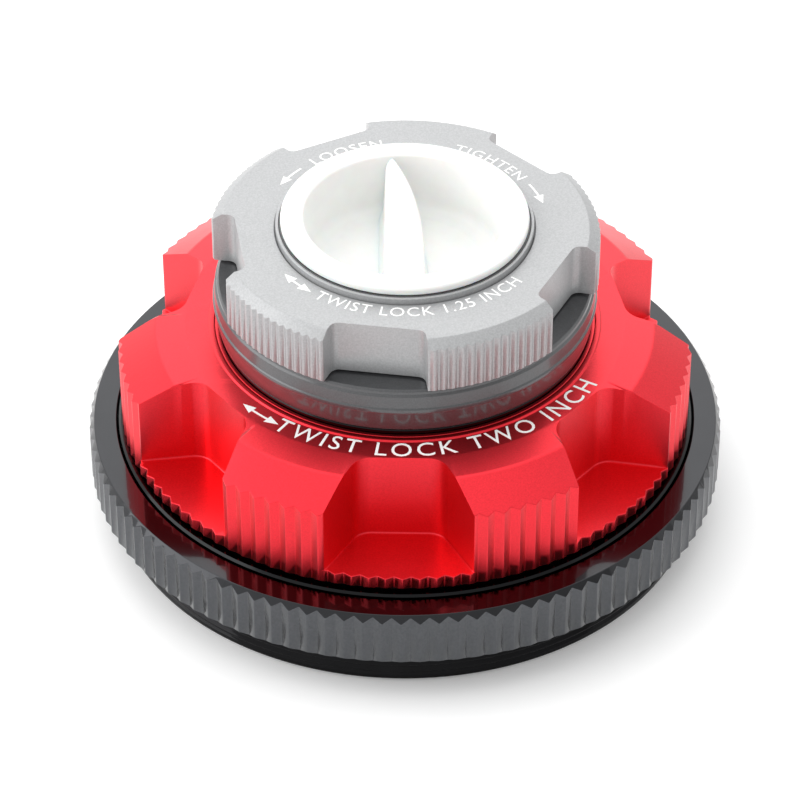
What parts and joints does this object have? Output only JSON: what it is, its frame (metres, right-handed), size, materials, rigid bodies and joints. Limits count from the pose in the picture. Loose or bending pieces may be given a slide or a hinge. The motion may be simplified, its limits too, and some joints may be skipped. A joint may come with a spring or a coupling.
{
  "type": "telescope visual back",
  "caption": "Twist-lock visual back: knurled threaded adapter, rotating holder with pocketed locking ring, stepped reducer with scalloped locking ring, push-in cap.",
  "frame": {"origin": "centre of the face that meets the telescope, on the optical axis", "axes": "+Z along the optical axis towards the observer; -Y is the front, where the small ring has a scallop 8.8 degrees off to -X"},
  "size_m": [0.092, 0.092, 0.0495],
  "materials": {
    "black_anodised": "gloss black anodised aluminium",
    "red_anodised": "satin bead-blasted red anodised aluminium",
    "silver_anodised": "satin bead-blasted natural anodised aluminium",
    "grey_anodised": "satin dark grey anodised aluminium",
    "white_plastic": "semi-gloss moulded white polyethylene",
    "acetal": "turned natural acetal",
    "black_ptfe": "matt black filled fluoropolymer",
    "brass": "turned brass",
    "steel": "ground steel",
    "spring_steel": "drawn spring steel wire"
  },
  "bodies": {
    "telescope_adapter": {"threaded_adapter": "black_anodised"},
    "holder": {"holder_body": "black_anodised", "rotation_washer": "acetal", "holder_retaining_ring": "black_anodised", "large_glide_washer": "black_ptfe", "large_retainer": "red_anodised", "large_expander": "spring_steel"},
    "large_lock": {"large_lock_ring": "red_anodised", "large_cam_ring": "brass", "large_cam_keys": "steel", "large_stop_pin": "steel"},
    "reducer": {"reducer_body": "grey_anodised", "reducer_barrel": "black_anodised", "small_retainer": "silver_anodised", "small_expander": "spring_steel"},
    "small_lock": {"small_lock_ring": "silver_anodised", "small_cam_ring": "brass", "small_cam_keys": "steel", "small_stop_pin": "steel"},
    "dust_cap": {"dust_cap": "white_plastic"},
    "large_shoe_1": {"large_shoe_1": "acetal"},
    "large_shoe_2": {"large_shoe_2": "acetal"},
    "large_shoe_3": {"large_shoe_3": "acetal"},
    "large_shoe_4": {"large_shoe_4": "acetal"},
    "large_shoe_5": {"large_shoe_5": "acetal"},
    "large_shoe_6": {"large_shoe_6": "acetal"},
    "small_shoe_1": {"small_shoe_1": "acetal"},
    "small_shoe_2": {"small_shoe_2": "acetal"},
    "small_shoe_3": {"small_shoe_3": "acetal"},
    "small_shoe_4": {"small_shoe_4": "acetal"},
    "small_shoe_5": {"small_shoe_5": "acetal"}
  },
  "joints": [
    {"name": "holder_turn", "type": "hinge", "parent": "telescope_adapter", "child": "holder", "pos_m": [0, 0, 0.0082], "axis": [0, 0, 1], "continuous": true},
    {"name": "large_lock_twist", "type": "hinge", "parent": "holder", "child": "large_lock", "pos_m": [0, 0, 0.0155], "axis": [0, 0, 1], "range_deg": [0, 45]},
    {"name": "reducer_lift", "type": "slide", "parent": "holder", "child": "reducer", "axis": [0, 0, 1], "range_m": [0, 0.04]},
    {"name": "small_lock_twist", "type": "hinge", "parent": "reducer", "child": "small_lock", "pos_m": [0, 0, 0.0393], "axis": [0, 0, 1], "range_deg": [0, 54]},
    {"name": "dust_cap_lift", "type": "slide", "parent": "reducer", "child": "dust_cap", "axis": [0, 0, 1], "range_m": [0, 0.03]},
    {"name": "large_shoe_1_slide", "type": "slide", "parent": "holder", "child": "large_shoe_1", "axis": [1, 0, 0], "range_m": [0, 0.00051]},
    {"name": "large_shoe_2_slide", "type": "slide", "parent": "holder", "child": "large_shoe_2", "axis": [0.5, 0.866, 0], "range_m": [0, 0.00051]},
    {"name": "large_shoe_3_slide", "type": "slide", "parent": "holder", "child": "large_shoe_3", "axis": [-0.5, 0.866, 0], "range_m": [0, 0.00051]},
    {"name": "large_shoe_4_slide", "type": "slide", "parent": "holder", "child": "large_shoe_4", "axis": [-1, 0, 0], "range_m": [0, 0.00051]},
    {"name": "large_shoe_5_slide", "type": "slide", "parent": "holder", "child": "large_shoe_5", "axis": [-0.5, -0.866, 0], "range_m": [0, 0.00051]},
    {"name": "large_shoe_6_slide", "type": "slide", "parent": "holder", "child": "large_shoe_6", "axis": [0.5, -0.866, 0], "range_m": [0, 0.00051]},
    {"name": "small_shoe_1_slide", "type": "slide", "parent": "reducer", "child": "small_shoe_1", "axis": [1, 0, 0], "range_m": [0, 0.00041]},
    {"name": "small_shoe_2_slide", "type": "slide", "parent": "reducer", "child": "small_shoe_2", "axis": [0.309, 0.9511, 0], "range_m": [0, 0.00041]},
    {"name": "small_shoe_3_slide", "type": "slide", "parent": "reducer", "child": "small_shoe_3", "axis": [-0.809, 0.5878, 0], "range_m": [0, 0.00041]},
    {"name": "small_shoe_4_slide", "type": "slide", "parent": "reducer", "child": "small_shoe_4", "axis": [-0.809, -0.5878, 0], "range_m": [0, 0.00041]},
    {"name": "small_shoe_5_slide", "type": "slide", "parent": "reducer", "child": "small_shoe_5", "axis": [0.309, -0.9511, 0], "range_m": [0, 0.00041]}
  ],
  "couplings": [
    {"joint": "large_shoe_1_slide", "follows": "large_lock_twist", "m_per_rad": 0.00063662},
    {"joint": "large_shoe_2_slide", "follows": "large_lock_twist", "m_per_rad": 0.00063662},
    {"joint": "large_shoe_3_slide", "follows": "large_lock_twist", "m_per_rad": 0.00063662},
    {"joint": "large_shoe_4_slide", "follows": "large_lock_twist", "m_per_rad": 0.00063662},
    {"joint": "large_shoe_5_slide", "follows": "large_lock_twist", "m_per_rad": 0.00063662},
    {"joint": "large_shoe_6_slide", "follows": "large_lock_twist", "m_per_rad": 0.00063662},
    {"joint": "small_shoe_1_slide", "follows": "small_lock_twist", "m_per_rad": 0.00042441},
    {"joint": "small_shoe_2_slide", "follows": "small_lock_twist", "m_per_rad": 0.00042441},
    {"joint": "small_shoe_3_slide", "follows": "small_lock_twist", "m_per_rad": 0.00042441},
    {"joint": "small_shoe_4_slide", "follows": "small_lock_twist", "m_per_rad": 0.00042441},
    {"joint": "small_shoe_5_slide", "follows": "small_lock_twist", "m_per_rad": 0.00042441}
  ]
}
